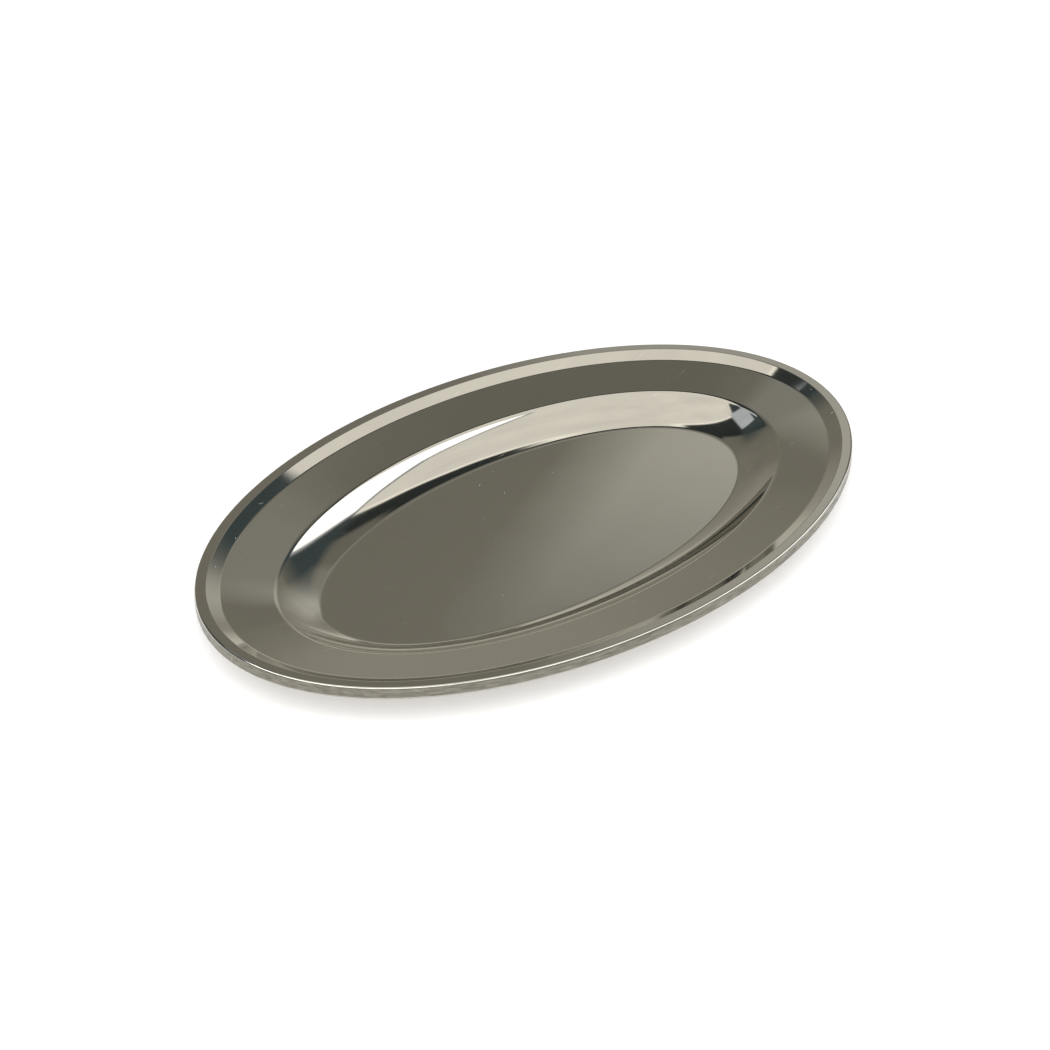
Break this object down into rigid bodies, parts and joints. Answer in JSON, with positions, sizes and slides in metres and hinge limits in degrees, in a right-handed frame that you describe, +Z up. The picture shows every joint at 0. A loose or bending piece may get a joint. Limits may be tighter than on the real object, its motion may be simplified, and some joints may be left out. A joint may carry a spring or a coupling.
{
  "type": "serving tray",
  "caption": "Oval stainless steel serving platter with a stepped rim, a shallow coved well and a turned-down edge curled round a stiffening wire.",
  "frame": {"origin": "on the table, under the middle of the floor", "axes": "+X along the tray's length, +Y across it, +Z up"},
  "size_m": [0.35, 0.222, 0.0174],
  "materials": {
    "polished_steel": "mirror polished on the show side, satin on the skirt and dull underneath",
    "drawn_wire": "bright drawn wire with fine lengthwise die lines"
  },
  "bodies": {
    "root": {"tray_body": "polished_steel", "edge_wire": "drawn_wire"}
  },
  "joints": []
}
